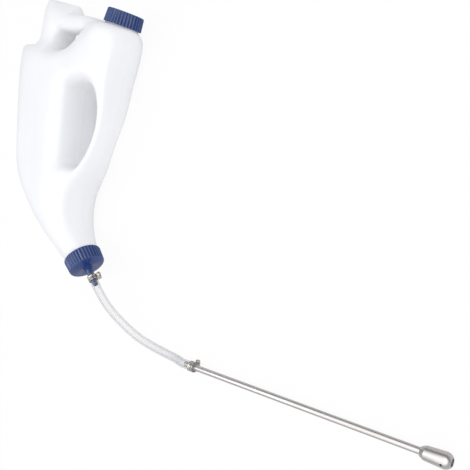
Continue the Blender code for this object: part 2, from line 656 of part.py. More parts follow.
def main():
    for obj in list(bpy.data.objects):
        bpy.data.objects.remove(obj, do_unlink=True)
    white = material("bottle_plastic", WHITE, 0.35)
    blue = material("cap_plastic", BLUE, 0.35)
    steel = material("steel", STEEL, 0.25, 1.0)
    clear = material("hose_plastic", CLEAR, 0.15, 0.0, 0.5)
    rubber = material("seal_foam", RUBBER, 0.7)

    build_bottle(white)
    build_cap("filler_cap", filler_place, blue, False)
    build_cap("outlet_cap", outlet_place, blue, True)
    build_seals(rubber)
    build_nozzle(blue)
    build_hose(clear)
    upper_centre = hose_start + outlet_axis * (CLAMP_INSET + CLAMP_WIDTH / 2)
    build_clamp("upper", upper_centre, outlet_axis, UPPER_CLAMP_TURN, steel)
    lower_centre = hose_end - probe_axis * (CLAMP_INSET + CLAMP_WIDTH / 2)
    build_clamp("lower", lower_centre, probe_axis, LOWER_CLAMP_TURN, steel)
    build_probe(steel)


main()
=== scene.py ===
import math
import bmesh
import bpy
from mathutils import Matrix, Vector


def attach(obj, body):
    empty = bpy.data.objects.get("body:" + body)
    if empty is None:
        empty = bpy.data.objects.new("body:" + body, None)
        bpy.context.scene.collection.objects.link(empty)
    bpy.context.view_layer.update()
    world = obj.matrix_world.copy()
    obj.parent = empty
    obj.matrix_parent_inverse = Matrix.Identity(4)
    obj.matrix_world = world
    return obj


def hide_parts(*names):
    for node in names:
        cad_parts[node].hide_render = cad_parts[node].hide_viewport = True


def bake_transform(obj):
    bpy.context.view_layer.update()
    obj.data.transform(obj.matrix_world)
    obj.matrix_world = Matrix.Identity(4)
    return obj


# The finished look of a drenching bottle that lies on its side, with its hose and probe
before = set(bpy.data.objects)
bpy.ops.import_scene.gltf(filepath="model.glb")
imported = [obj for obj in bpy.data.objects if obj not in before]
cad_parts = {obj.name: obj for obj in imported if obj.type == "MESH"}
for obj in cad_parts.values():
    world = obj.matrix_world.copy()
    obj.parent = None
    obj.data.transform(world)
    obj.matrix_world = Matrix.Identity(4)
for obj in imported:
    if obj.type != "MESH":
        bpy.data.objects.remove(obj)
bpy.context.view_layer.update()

gap = .0003          # clearance between pieces that touch
thickness = .100     # of the bottle, which lies flat on the floor
middle = thickness / 2


def axisPlace(base, direction):
    # A frame at base whose Z runs along the direction and whose Y leans upwards
    z = Vector(direction).normalized()
    x = Vector((0, 0, 1)).cross(z).normalized()
    turn = Matrix((x, z.cross(x), z)).transposed().to_4x4()
    return Matrix.Translation(base) @ turn


# Camera, at the photograph's viewing angle
cameraSetup = dict(place=(.9865, -.2180, .8440), right=(.8, .03, -.599), back=(.6, -.04, .799),
                   focal=690, frameWidth=470, sensor=36)


def addCamera(setup):
    right, back = Vector(setup["right"]).normalized(), Vector(setup["back"]).normalized()
    up = back.cross(right).normalized()
    data = bpy.data.cameras.new("camera")
    data.sensor_width = setup["sensor"]
    data.lens = setup["focal"] * setup["sensor"] / setup["frameWidth"]
    camera = bpy.data.objects.new("camera", data)
    turn = Matrix((up.cross(back), up, back)).transposed().to_4x4()
    camera.matrix_world = Matrix.Translation(setup["place"]) @ turn
    bpy.context.scene.collection.objects.link(camera)
    bpy.context.scene.camera = camera


addCamera(cameraSetup)
print("camera set")


# Shader maths: a socket that takes Python's operators
class Wire:
    def __init__(self, paint, socket):
        self.paint = paint
        self.socket = socket

    def sum(self, operation, *values):
        return self.paint.node("ShaderNodeMath", dict(operation=operation), dict(enumerate(values)))

    def __add__(self, other):
        return self.sum("ADD", self, other)

    def __radd__(self, other):
        return self.sum("ADD", other, self)

    def __sub__(self, other):
        return self.sum("SUBTRACT", self, other)

    def __rsub__(self, other):
        return self.sum("SUBTRACT", other, self)

    def __mul__(self, other):
        return self.sum("MULTIPLY", self, other)

    def __pow__(self, other):
        return self.sum("POWER", self, other)

    def between(self, low, high):
        # 0 below low, 1 above high
        return self.paint.node("ShaderNodeMapRange", dict(clamp=True),
                               {0: self, 1: low, 2: high, 3: 0.0, 4: 1.0})


# A tree of shader nodes, all made by one method
class Nodes:
    def __init__(self, tree):
        self.tree = tree

    def node(self, kind, settings=None, values=None, out=0):
        made = self.tree.nodes.new(kind)
        for name, value in (settings or {}).items():
            setattr(made, name, value)
        for name, value in (values or {}).items():
            self.feed(made.inputs[name], value)
        return Wire(self, made.outputs[out])

    def feed(self, socket, value):
        if isinstance(value, Wire):
            self.tree.links.new(value.socket, socket)
        else:
            socket.default_value = value

    def mixed(self, share, first, second):
        return self.node("ShaderNodeMix", dict(data_type="RGBA"), {0: share, 6: first, 7: second}, out=2)

    def part(self, place, axis):
        return self.node("ShaderNodeSeparateXYZ", None, {0: place}, out=axis)


class Paint(Nodes):
    def __init__(self, name, **fixed):
        self.material = bpy.data.materials.new(name)
        self.material.use_nodes = True
        super().__init__(self.material.node_tree)
        self.shader = self.tree.nodes["Principled BSDF"]
        for socket, value in fixed.items():
            self.shader.inputs[socket.replace("_", " ")].default_value = value
        self.place = self.node("ShaderNodeTexCoord", out="Object")

    def turned(self, place):
        # Object coordinates seen from a frame, so that a pattern lies along its axis
        back = place.inverted()
        return self.node("ShaderNodeMapping", None,
                         {0: self.place, 1: back.translation[:], 2: back.to_euler()[:]})

    def stretched(self, place, scale):
        return self.node("ShaderNodeMapping", None, {0: place, 3: scale})

    def noise(self, place, scale, detail=2.0, rough=.5):
        return self.node("ShaderNodeTexNoise", None,
                         {"Vector": place, "Scale": scale, "Detail": detail, "Roughness": rough})

    def cells(self, place, scale):
        return self.node("ShaderNodeTexVoronoi", dict(feature="DISTANCE_TO_EDGE"),
                         {"Vector": place, "Scale": scale})

    def bump(self, height, strength, distance):
        return self.node("ShaderNodeBump", None,
                         {"Strength": strength, "Distance": distance, "Height": height})

    def finish(self, **wires):
        for socket, value in wires.items():
            self.feed(self.shader.inputs[socket.replace("_", " ")], value)
        return self.material


# Colours of the materials
whiteTones = dict(cloudy=(.900, .905, .935, 1), clean=(.955, .955, .965, 1), rubbed=(.865, .865, .885, 1))
# The darkest blue is a painted shade for the valleys between the cap's ribs; the palest blue serves both
# rubbed edges and a painted highlight on the rib crests
blueTones = dict(deep=(.006, .028, .150, 1), plain=(.011, .046, .210, 1), valley=(.002, .008, .050, 1),
                 wornAndHighlight=(.075, .175, .480, 1))
clampTint, probeTint, stainShade = (.63, .60, .55), (.72, .69, .685), .84
clearTones = dict(grey=(.52, .52, .56, 1), pale=(.58, .58, .62, 1))
clearSolid = dict(middle=.05, edges=.80, rise=1.4)
foamTones = dict(shaded=(.70, .70, .68, 1), plain=(.82, .82, .80, 1))


def bottlePlastic():
    # Translucent white moulded plastic: slightly cloudy, a fine sanded grain, a few rubbed places
    paint = Paint("bottle_plastic", Subsurface_Weight=.10, Subsurface_Scale=.006, IOR=1.50)
    paint.shader.inputs["Subsurface Radius"].default_value = (1.0, .95, .95)
    cloud = paint.noise(paint.place, 7.0, 3.0)
    flow = paint.noise(paint.stretched(paint.place, (14, 2.2, 14)), 2.0, 3.0)
    grain = paint.noise(paint.place, 1500.0, 2.0)
    rubbed = paint.noise(paint.place, 26.0, 6.0, .62).between(.60, .74)
    tone = (cloud * .6 + flow * .4).between(.35, .65)
    colour = paint.mixed(tone, whiteTones["cloudy"], whiteTones["clean"])
    colour = paint.mixed(rubbed * .25, colour, whiteTones["rubbed"])
    normal = paint.bump(grain * .7 + flow * .3, .18, .0003)
    return paint.finish(Base_Color=colour, Roughness=.30 + tone * .06 + rubbed * .14, Normal=normal)


def bluePlastic(name, place, ribs=0):
    # Moulded dark blue plastic, paler where edges are rubbed; on ribbed caps a painted shade darkens the
    # valleys between the ribs, and rubbing together with a painted highlight pales the rib crests
    paint = Paint(name, IOR=1.50, Specular_IOR_Level=.65)
    near = paint.turned(place)
    cloud = paint.noise(near, 40.0, 3.0)
    rubbed = paint.noise(near, 260.0, 5.0, .6).between(.54, .72)
    grain = paint.noise(near, 2200.0)
    edge = paint.node("ShaderNodeNewGeometry", out="Pointiness").between(.505, .56)
    wearAndHighlight = (edge * (.45 + rubbed * .4)).between(0, 1)
    colour = paint.mixed(cloud, blueTones["deep"], blueTones["plain"])
    if ribs:
        across, up = paint.part(near, 0), paint.part(near, 1)
        wave = paint.node("ShaderNodeMath", dict(operation="COSINE"),
                          {0: up.sum("ARCTAN2", up, across) * ribs})
        low, high = [(cap["topRadius"] - depth) ** 2 for depth in cap["shadeDepths"]]
        outside = (across * across + up * up).between(low, high)
        # Painted shade: the valleys between the ribs darkened towards the darkest blue
        colour = paint.mixed((1 - wave.between(-.7, .5)) * outside * .75, colour, blueTones["valley"])
        # Rubbing and a painted highlight: the rib crests paled towards the palest blue
        wearAndHighlight = (wearAndHighlight + wave.between(.35, 1) * outside * (.25 + rubbed * .35)).between(0, 1)
    # Pale blue for rubbed edges and, on ribbed caps, for the painted highlight on the rib crests
    colour = paint.mixed(wearAndHighlight * .6, colour, blueTones["wornAndHighlight"])
    normal = paint.bump(grain * .6 + cloud * .4, .2, .0002)
    return paint.finish(Base_Color=colour, Roughness=.22 + rubbed * .12 + wearAndHighlight * .08, Normal=normal)


def steel(name, place, tint, rough, lines):
    # Drawn stainless steel: fine lines along the piece, faint stains and small scratches
    paint = Paint(name, Metallic=1.0)
    near = paint.turned(place)
    drawn = paint.noise(paint.stretched(near, lines), 1.0, 4.0, .7)
    stain = paint.noise(near, 45.0, 4.0).between(.42, .7)
    scratch = paint.noise(paint.stretched(near, (900, 900, 110)), 1.0, 2.0).between(.66, .72)
    dull = [c * stainShade for c in tint]
    colour = paint.mixed(stain * .5 + drawn * .25, (*tint, 1), (*dull, 1))
    roughness = rough + drawn * .10 + stain * .05 + scratch * .08
    normal = paint.bump(drawn * .8 - scratch * .3, .12, .00008)
    return paint.finish(Base_Color=colour, Roughness=roughness, Normal=normal)


def clearHose():
    # Clear soft plastic: see-through in the middle, greyer towards its edges
    paint = Paint("hose_plastic", IOR=1.48, Specular_IOR_Level=.6)
    facing = paint.node("ShaderNodeLayerWeight", None, {"Blend": .35}, out="Facing")
    cloud = paint.noise(paint.place, 55.0, 3.0)
    streak = paint.noise(paint.place, 320.0, 2.0)
    colour = paint.mixed(cloud, clearTones["grey"], clearTones["pale"])
    solid = clearSolid["middle"] + (facing ** clearSolid["rise"]) * clearSolid["edges"] + cloud * .01
    return paint.finish(Base_Color=colour, Roughness=.12 + streak * .06, Alpha=solid,
                        Normal=paint.bump(streak, .02, .0001))


def sealFoam():
    # White foamed liner with fine pores
    paint = Paint("seal_foam", Roughness=.75)
    pores = paint.cells(paint.place, 1600.0).between(.02, .16)
    cloud = paint.noise(paint.place, 60.0, 3.0)
    colour = paint.mixed(cloud, foamTones["shaded"], foamTones["plain"])
    return paint.finish(Base_Color=colour, Roughness=.80 - pores * .12,
                        Normal=paint.bump(pores, .35, .0003))


def addPiece(name, bm, material, body, replaced=(), smooth=35):
    mesh = bpy.data.meshes.new(name)
    bm.to_mesh(mesh)
    bm.free()
    piece = bpy.data.objects.new(name, mesh)
    bpy.context.scene.collection.objects.link(piece)
    mesh.materials.append(material)
    mesh.shade_smooth()
    mesh.set_sharp_from_angle(angle=math.radians(smooth))
    if replaced:
        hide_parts(*replaced)
    if body:
        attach(piece, body)
    return piece


def applied(piece):
    # The piece's modifiers made real in its mesh
    graph = bpy.context.evaluated_depsgraph_get()
    mesh = bpy.data.meshes.new_from_object(piece.evaluated_get(graph))
    piece.modifiers.clear()
    piece.data = mesh
    return piece


def loose(name, bm):
    # A helper object for a modifier, removed after use
    mesh = bpy.data.meshes.new(name)
    bm.to_mesh(mesh)
    bm.free()
    helper = bpy.data.objects.new(name, mesh)
    bpy.context.scene.collection.objects.link(helper)
    return helper


def cutFrom(bm, cutters):
    # The solid less its cutters
    body = loose("body", bm)
    tools = [loose("cutter", cutter) for cutter in cutters]
    for tool in tools:
        cut = body.modifiers.new("cut", "BOOLEAN")
        cut.operation = "DIFFERENCE"
        cut.solver = "EXACT"
        cut.object = tool
    applied(body)
    result = bmesh.new()
    result.from_mesh(body.data)
    for helper in [body, *tools]:
        bpy.data.objects.remove(helper)
    return result


def softened(points, size, steps=3):
    # The line with its corners rounded, each by an arc-like bend
    line = [Vector(p) for p in points]
    made = [line[0]]
    for before, corner, after in zip(line, line[1:], line[2:]):
        reach = min(size, (before - corner).length * .45, (after - corner).length * .45)
        start = corner + (before - corner).normalized() * reach
        end = corner + (after - corner).normalized() * reach
        for i in range(steps + 1):
            t = i / steps
            made.append(start.lerp(corner, t).lerp(corner.lerp(end, t), t))
    return [tuple(p) for p in [*made, line[-1]]]


def firstRing(bm, radius, steps, **options):
    # A circle's vertices and edges, to be carried along
    ring = bmesh.ops.create_circle(bm, segments=steps, radius=radius, **options)["verts"]
    return ring, bm.edges[:]


def nextRing(bm, edges):
    # A copy of the ring, joined to it by faces
    made = bmesh.ops.extrude_edge_only(bm, edges=edges)["geom"]
    ring = [g for g in made if isinstance(g, bmesh.types.BMVert)]
    fresh = set(ring)
    return ring, [g for g in made if isinstance(g, bmesh.types.BMEdge) and set(g.verts) <= fresh]


def turnedSolid(profile, steps=64, closed=False, place=Matrix.Identity(4)):
    # A lathe-turned solid from (radius, height) points
    bm = bmesh.new()
    verts = [bm.verts.new((radius, 0, height)) for radius, height in profile]
    edges = [bm.edges.new(pair) for pair in zip(verts, verts[1:])]
    if closed:
        edges.append(bm.edges.new((verts[-1], verts[0])))
    bmesh.ops.spin(bm, geom=verts + edges, cent=(0, 0, 0), axis=(0, 0, 1),
                   angle=2 * math.pi, steps=steps, use_merge=True)
    bmesh.ops.remove_doubles(bm, verts=bm.verts, dist=.000002)
    bmesh.ops.recalc_face_normals(bm, faces=bm.faces)
    bmesh.ops.transform(bm, matrix=place, verts=bm.verts)
    return bm


# Necks and caps. ribFoot: (height, share of the ribs' depth); crown, the rounded edge of the cap's end:
# (share of the edge inwards, share of the edge downwards, share of the ribs' depth)
neck = dict(radius=.0275, fillet=.0015, filletFoot=.2, filletRise=.0004, straight=.002,
            filler=(.1402, .1705), fillerTilt=22.5, outlet=(.0620, -.2132), outletTilt=37.5)
thread = dict(pitch=.006, turns=1.5, depth=.0015, clearance=.0006, start=.006, leadIn=40,
              baseWidth=.0026, crestWidth=.0011, root=.0009, soft=.0004, steps=48, capTurn=60)
cap = dict(radius=.0325, topRadius=.0312, skirt=.001, depth=.0211, roof=.0024, edge=.0024,
           ribs=36, ribSteps=8, ribDepth=.0014, ribBlunt=1.3, ribFoot=((.0005, .6), (.0012, 1)),
           crown=((0, 1, 1), (.12, .55, .7), (.42, .2, .25), (1, 0, 0)), shadeDepths=(.0026, .0016),
           dish=.80, dishFloor=.78, dishDepth=.0004, sealThickness=.0015, flange=.002,
           boss=.0086, bossStep=.0074, bossHeight=.0060, stepHeight=.0032,
           bossRoot=.0008, bossRise=.0006, bossCut=.0004, stepRoot=.0003)
nozzle = dict(radius=.0060, reach=.0165, bore=.0033, spigot=.0215, soft=.0004, mouth=.84,
              barbs=3, barbStart=.003, barbRoot=.9, barbFront=.0008, barbEnd=.0018, barbBack=.0006)
capInside = cap["skirt"] + cap["depth"]
capTop = capInside + cap["roof"]
capBore = neck["radius"] + thread["depth"] + thread["clearance"]
fillerNeck = capInside - 2 * gap - cap["sealThickness"]
flangeBase = capInside - gap - cap["flange"]
outletNeck = flangeBase - 2 * gap - cap["sealThickness"]

fillerTurn, outletTurn = math.radians(neck["fillerTilt"]), math.radians(neck["outletTilt"])
fillerAxis = Vector((math.sin(fillerTurn), math.cos(fillerTurn), 0))
outletAxis = Vector((math.sin(outletTurn), -math.cos(outletTurn), 0))
fillerPlace = axisPlace((*neck["filler"], middle), fillerAxis)
outletPlace = axisPlace((*neck["outlet"], middle), outletAxis)

# Hose, from the nozzle to the probe, with its middle line's points listed
hoseShape = dict(radius=.0070, bore=.0050, lead=.003, grip=.022, length=.2731,
                 step=.0022, fine=24, sides=28)
hoseRoute = [
    (.1189, -.2907, .0453), (.1342, -.3112, .0368), (.1509, -.3294, .0265), (.1693, -.3457, .0168),
    (.1925, -.3578, .0098), (.2215, -.3673, .0074), (.2460, -.3733, .0085),
]

# Clamps. bandRows, holeReach, housingFlat and housingShoulder are shares of half a width, flanks are
# shares of one turn of the screw, and the band's holes lean by holeLean radians in a metre
clamp = dict(width=.009, band=.0008, inset=.003, upperTurn=-45, lowerTurn=-90,
             bandSteps=88, bandRows=(-1, -.82, -.42, .42, .82, 1), roll=.0003, rollFrom=.9,
             holeEvery=4, holeSteps=2, holeReach=.4, holeLean=22, holesTo=.5,
             housingLength=.0105, housingWidth=.0086, housingHeight=.0062, housingWall=.0007,
             housingRise=.0001, housingSag=.0002, housingFlat=.35, housingShoulder=.82, housingBend=.0018,
             screw=.0020, turns=7, root=.78, flanks=(.15, .4, .6, .85),
             tip=.0022, tipShare=.55, tipCut=.0004, soft=.00025,
             head=.0036, headLength=.0040, headCut=.0008, headFace=.72, headSag=.0001,
             slotWidth=.0009, slotDepth=.0012)

# Probe: a drawn tube, and a tip with a chamfered rear, a round nose and a side hole
probe = dict(radius=hoseShape["bore"] - gap, wall=.0010, turn=-9.6, start=(.2968, -.3828), length=.3667,
             tubeSoft=.0003, tip=.0405, tipRadius=.0108, tipSoft=.0006, rearRadius=.0094, chamfer=.0060,
             chamferCut=.0030, socket=.0120, dome=.0092, domeTurn=58, domeSteps=14, hole=.0042, lip=.0011,
             lipCut=.0003, sink=.0080, sinkCut=.0010,
             sideHole=.0018, sideHoleBack=.0105, sideHoleTurn=25, drill=.02)
clampSeat = hoseShape["radius"] + 2 * gap + clamp["band"]
screwHeight = clampSeat + clamp["housingHeight"] / 2
clampReach = screwHeight + clamp["head"]
probeFlat = Vector((math.cos(math.radians(probe["turn"])), math.sin(math.radians(probe["turn"])), 0))
probeAxis = (probeFlat * (probe["length"] + probe["tip"])
             + Vector((0, 0, probe["tipRadius"] - clampReach))).normalized()
hoseStart = outletPlace.translation + outletAxis * (capTop + nozzle["reach"] + gap)
hoseEnd = Vector((*probe["start"], clampReach + gap))
probePlace = axisPlace(hoseEnd, probeAxis)


def smoothRoute(points, step, fine):
    # Even points along a smooth curve through the chosen ones
    dense = []
    padded = [points[0] * 2 - points[1], *points, points[-1] * 2 - points[-2]]
    for a, b, c, d in zip(padded, padded[1:], padded[2:], padded[3:]):
        for i in range(fine):
            t = i / fine
            dense.append(.5 * (2 * b + (c - a) * t + (2 * a - 5 * b + 4 * c - d) * t * t
                               + (3 * b - a - 3 * c + d) * t ** 3))
    dense.append(points[-1])
    total = sum((q - p).length for p, q in zip(dense, dense[1:]))
    count = round(total / step)
    even, walked = [dense[0]], 0.0
    for p, q in zip(dense, dense[1:]):
        length = (q - p).length
        while walked + length >= total / count * len(even) and len(even) < count:
            even.append(p.lerp(q, (total / count * len(even) - walked) / length))
        walked += length
    return [*even, dense[-1]]


def addHose(shape):
    spigot, lead, grip = nozzle["spigot"], shape["lead"], shape["grip"]
    ahead = (0, spigot / 2, spigot + lead, spigot + 2 * lead)
    route = [hoseStart + outletAxis * reach for reach in ahead]
    route += [Vector(p) for p in hoseRoute]
    route += [hoseEnd - probeAxis * back for back in (grip + 2 * lead, grip + lead, grip / 2, 0)]
    path = smoothRoute(route, shape["step"], shape["fine"])
    # A ring carried along the path, then given its wall inwards
    bm = bmesh.new()
    ring, edges = firstRing(bm, shape["radius"], shape["sides"])
    across = Vector((0, 0, 1)).cross(outletAxis).normalized()
    lastPlace = Matrix.Identity(4)
    for i, spot in enumerate(path):
        along = (path[min(i + 1, len(path) - 1)] - path[max(i - 1, 0)]).normalized()
        if i:
            ring, edges = nextRing(bm, edges)
        across = (across - along * across.dot(along)).normalized()
        turn = Matrix((across, along.cross(across), along)).transposed().to_4x4()
        place = Matrix.Translation(spot) @ turn
        bmesh.ops.transform(bm, matrix=place @ lastPlace.inverted(), verts=ring)
        lastPlace = place
    bmesh.ops.recalc_face_normals(bm, faces=bm.faces)
    if bm.calc_volume(signed=True) < 0:
        bmesh.ops.reverse_faces(bm, faces=bm.faces)
    hose = addPiece("clear_hose", bm, clearHose(), None, ["hose"])
    wall = hose.modifiers.new("wall", "SOLIDIFY")
    wall.thickness = shape["radius"] - shape["bore"]
    wall.offset = -1
    applied(hose)
    hoseStart + outletAxis * .030
    hoseEnd - probeAxis * .032
    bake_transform(hose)


addHose(hoseShape)
print("hose laid")


# Bottle: face points in plan, and the height over the middle plane as a share of half the thickness
bottle = dict(wall=.0025, rimBulge=.2, rimRise=.6, miterLeast=.68, seam=.0008, seamRise=.00025)
rows = [
    [(-.074, .168, .92), (-.047, .158, .98), (-.016, .142, 1.00), (.022, .133, 1.00),
     (.056, .135, 1.00), (.084, .135, 1.00), (.113, .124, 1.00), (.150, .116, .82)],
    [(-.0765, .118, 1.00), (-.048, .118, 1.06), (-.012, .114, 1.06), (.028, .110, 1.06),
     (.056, .110, 1.06), (.084, .108, 1.04), (.114, .098, .96), (.143, .093, .80)],
    [(-.077, .075, 1.00), (-.050, .075, 1.06), (-.010, .077, 1.06), (.040, .080, 1.00),
     (.062, .088, 1.00), (.092, .088, .96), (.116, .076, .82), (.136, .070, .74)],
    [(-.077, .035, 1.00), (-.051, .035, 1.06), (-.016, .036, 1.06), (.041, .040, 1.00),
     None, None, (.121, .038, .66), (.1325, .036, .66)],
    [(-.076, -.005, 1.00), (-.051, -.005, 1.06), (-.018, .000, 1.06), (.037, .003, 1.00),
     None, None, (.113, .003, .54), (.1225, .002, .54)],
    [(-.075, -.042, 1.00), (-.050, -.040, 1.06), (-.018, -.036, 1.06), (.035, -.032, 1.00),
     None, None, (.098, -.030, .50), (.1065, -.031, .50)],
    [(-.067, -.075, 1.00), (-.045, -.074, 1.04), (-.016, -.072, 1.04), (.028, -.064, 1.00),
     (.048, -.068, .92), (.064, -.072, .80), (.077, -.070, .68), (.088, -.070, .60)],
    [(-.047, -.106, .94), (-.033, -.106, 1.00), (-.015, -.106, 1.00), (.004, -.104, 1.00),
     (.022, -.102, .98), (.036, -.100, .92), (.047, -.098, .84), (.056, -.096, .72)],
    [(-.027, -.140, .84), (-.017, -.141, .92), (-.006, -.142, .94), (.007, -.141, .94),
     (.019, -.138, .92), (.030, -.136, .90), (.038, -.133, .84), (.046, -.130, .72)],
    [(-.002, -.172, .70), (.006, -.175, .76), (.015, -.176, .80), (.025, -.176, .82),
     (.034, -.174, .82), (.042, -.172, .80), (.0485, -.169, .72), (.054, -.167, .60)],
]
column = [
    [(.083, .175, .56), (.097, .160, .98), (.125, .146, 1.00), (.156, .136, .80)],
    [(.099, .184, .51), (.111, .173, .90), (.137, .162, .96), (.158, .153, .76)],
]
post = [[(-.0465, .172, .57), (-.010, .166, .58)], [(-.043, .210, .55), (-.008, .195, .57)]]
crown = [(-.038, .232, .54), (-.006, .219, .56)]
head = [(-.037, .248, .44), (-.002, .2375, .22), (.0285, .2265, .18)]
bar = [
    [(.014, .187, .57), (.024, .207, .54)],
    [(.036, .182, .57), (.043, .203, .53)],
    [(.060, .177, .57), (.063, .198, .53)],
]


def outwardRims(bm, chain, closed, side, sheetSide):
    # A vertex beside each face point, pushed away from the sheet and back towards the middle plane
    rims = []
    for i, point in enumerate(chain):
        before = chain[i - 1] if closed or i else point
        after = chain[(i + 1) % len(chain)] if closed or i < len(chain) - 1 else point
        along = (after.co - before.co).to_2d().normalized()
        out = Vector((along.y, -along.x)) * side
        near = (after.co - point.co).to_2d() if after is not point else (point.co - before.co).to_2d()
        miter = max(out.dot(Vector((near.y, -near.x)).normalized() * side), bottle["miterLeast"])
        spot = point.co.to_2d() + out * bottle["rimBulge"] * abs(point.co.z) / miter
        rims.append(bm.verts.new((*spot, abs(point.co.z) * bottle["rimRise"] * sheetSide)))
    return rims


def bridge(bm, first, second, closed=True):
    # Faces between two rows of points, the last joined to the first where they close
    for i in range(len(first) if closed else len(first) - 1):
        j = (i + 1) % len(first)
        bm.faces.new((first[i], first[j], second[j], second[i]))


def addNeck(bm, loop, place, length):
    # Rings whose smoothed form is the neck's circle, turned by half a step to meet the shoulder
    count = len(loop)
    shrink = (2 + math.cos(2 * math.pi / count)) / 3
    startsLeft = place.col[0].x < 0
    fillet = neck["fillet"]
    for grow, height in ((fillet, -fillet / 2), (fillet * neck["filletFoot"], neck["filletRise"]),
                         (0, neck["straight"]), (0, length / 2), (0, length)):
        ring = []
        for i in range(count):
            turn = 2 * math.pi * (i + .5) / count
            turn = turn if startsLeft else math.pi - turn
            radius = (neck["radius"] + grow) / shrink
            spot = place @ Vector((radius * math.cos(turn), radius * math.sin(turn), height))
            ring.append(bm.verts.new((spot.x, spot.y, spot.z - middle)))
        bridge(bm, loop, ring)
        loop = ring


def bottleCage():
    bm = bmesh.new()
    sheets, corners = [], {}
    for side in (1, -1):
        def points(line):
            return [p and bm.verts.new((p[0], p[1], p[2] * middle * side)) for p in line]
        grid, columns = [points(row) for row in rows], [points(row) for row in column]
        posts, bars = [points(pair) for pair in post], [points(pair) for pair in bar]
        crowns, heads = points(crown), points(head)
        quads = [(upper[i], upper[i + 1], lower[i + 1], lower[i])
                 for upper, lower in zip(grid, grid[1:]) for i in range(7)]
        top = grid[0]
        quads += [(top[1], top[2], posts[0][1], posts[0][0]), (*posts[0], posts[1][1], posts[1][0]),
                  (*posts[1], crowns[1], crowns[0]), (posts[1][1], *bars[0], crowns[1]),
                  (*crowns, heads[1], heads[0]), (crowns[1], bars[0][1], heads[2], heads[1])]
        ladder = [*bars, [columns[0][0], columns[1][0]]]
        quads += [(a[0], b[0], b[1], a[1]) for a, b in zip(ladder, ladder[1:])]
        for lower, upper in ((top[4:], columns[0]), (columns[0], columns[1])):
            quads += [(lower[i], lower[i + 1], upper[i + 1], upper[i]) for i in range(3)]
        for quad in quads:
            if None not in quad:
                bm.faces.new(quad)
        left = [columns[1][0], *[pair[1] for pair in reversed(bars)], *reversed(heads), crowns[0],
                posts[1][0], posts[0][0], top[1], *[row[0] for row in grid]]
        right = [columns[1][3], columns[0][3], *[row[7] for row in grid]]
        grip = [*[row[3] for row in grid[2:7]], grid[6][4], grid[6][5],
                *[row[6] for row in grid[6:1:-1]], grid[2][5], grid[2][4]]
        finger = [top[2], posts[0][1], posts[1][1], *[pair[0] for pair in bars],
                  columns[0][0], top[4], top[3]]
        sheets.append((grid, columns, [left, right, grip, finger]))
        corners |= {top[0]: .7, top[1]: .8, posts[0][0]: .4, heads[0]: .7, heads[2]: .7, bars[0][1]: .5}
    crease = bm.edges.layers.float.new("crease_edge")

    upper, lower = sheets
    ends = []
    for above, below, closed, side in zip(upper[2], lower[2], (False, False, True, True), (1, -1, -1, 1)):
        strips = [above, outwardRims(bm, above, closed, side, 1),
                  outwardRims(bm, below, closed, side, -1), below]
        ends.append(strips[1:3])
        for a, b in zip(strips, strips[1:]):
            bridge(bm, a, b, closed)
            for first, second, point in zip(a, b, above):
                bm.edges.get((first, second))[crease] = corners.get(point, 0)
    (leftUp, leftDown), (rightUp, rightDown) = ends[:2]
    fillerLoop = [leftUp[0], *upper[1][1], rightUp[0], rightDown[0], *lower[1][1][::-1], leftDown[0]]
    outletLoop = [leftUp[-1], *upper[0][-1], rightUp[-1],
                  rightDown[-1], *lower[0][-1][::-1], leftDown[-1]]
    addNeck(bm, fillerLoop, fillerPlace, fillerNeck)
    addNeck(bm, outletLoop, outletPlace, outletNeck)
    bmesh.ops.recalc_face_normals(bm, faces=bm.faces)
    if bm.calc_volume(signed=True) < 0:
        bmesh.ops.reverse_faces(bm, faces=bm.faces)
    return bm


def softenedMesh(bm, levels):
    helper = loose("soft", bm)
    soften = helper.modifiers.new("soften", "SUBSURF")
    soften.levels = soften.render_levels = levels
    applied(helper)
    result = bmesh.new()
    result.from_mesh(helper.data)
    bpy.data.objects.remove(helper)
    return result


def raiseSeam(bm):
    # The mould's parting line, a thin ridge all round at the middle plane
    for offset in (bottle["seam"], -bottle["seam"]):
        geom = [*bm.verts, *bm.edges, *bm.faces]
        bmesh.ops.bisect_plane(bm, geom=geom, plane_co=(0, 0, offset), plane_no=(0, 0, 1))
    bm.normal_update()
    for vert in bm.verts:
        if abs(vert.co.z) < .00001 and not vert.is_boundary:
            vert.co += vert.normal * bottle["seamRise"]


def addBottle():
    bm = softenedMesh(bottleCage(), 1)
    for vert in bm.verts:
        vert.co.z = max(-middle, min(middle, vert.co.z))
    bm = softenedMesh(bm, 2)
    raiseSeam(bm)
    bmesh.ops.translate(bm, vec=(0, 0, middle), verts=bm.verts)
    piece = addPiece("bottle_shell", bm, bottlePlastic(), None, ["bottle"], smooth=60)
    wall = piece.modifiers.new("wall", "SOLIDIFY")
    wall.thickness = bottle["wall"]
    wall.offset = -1
    applied(piece)
    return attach(piece, "bottle")


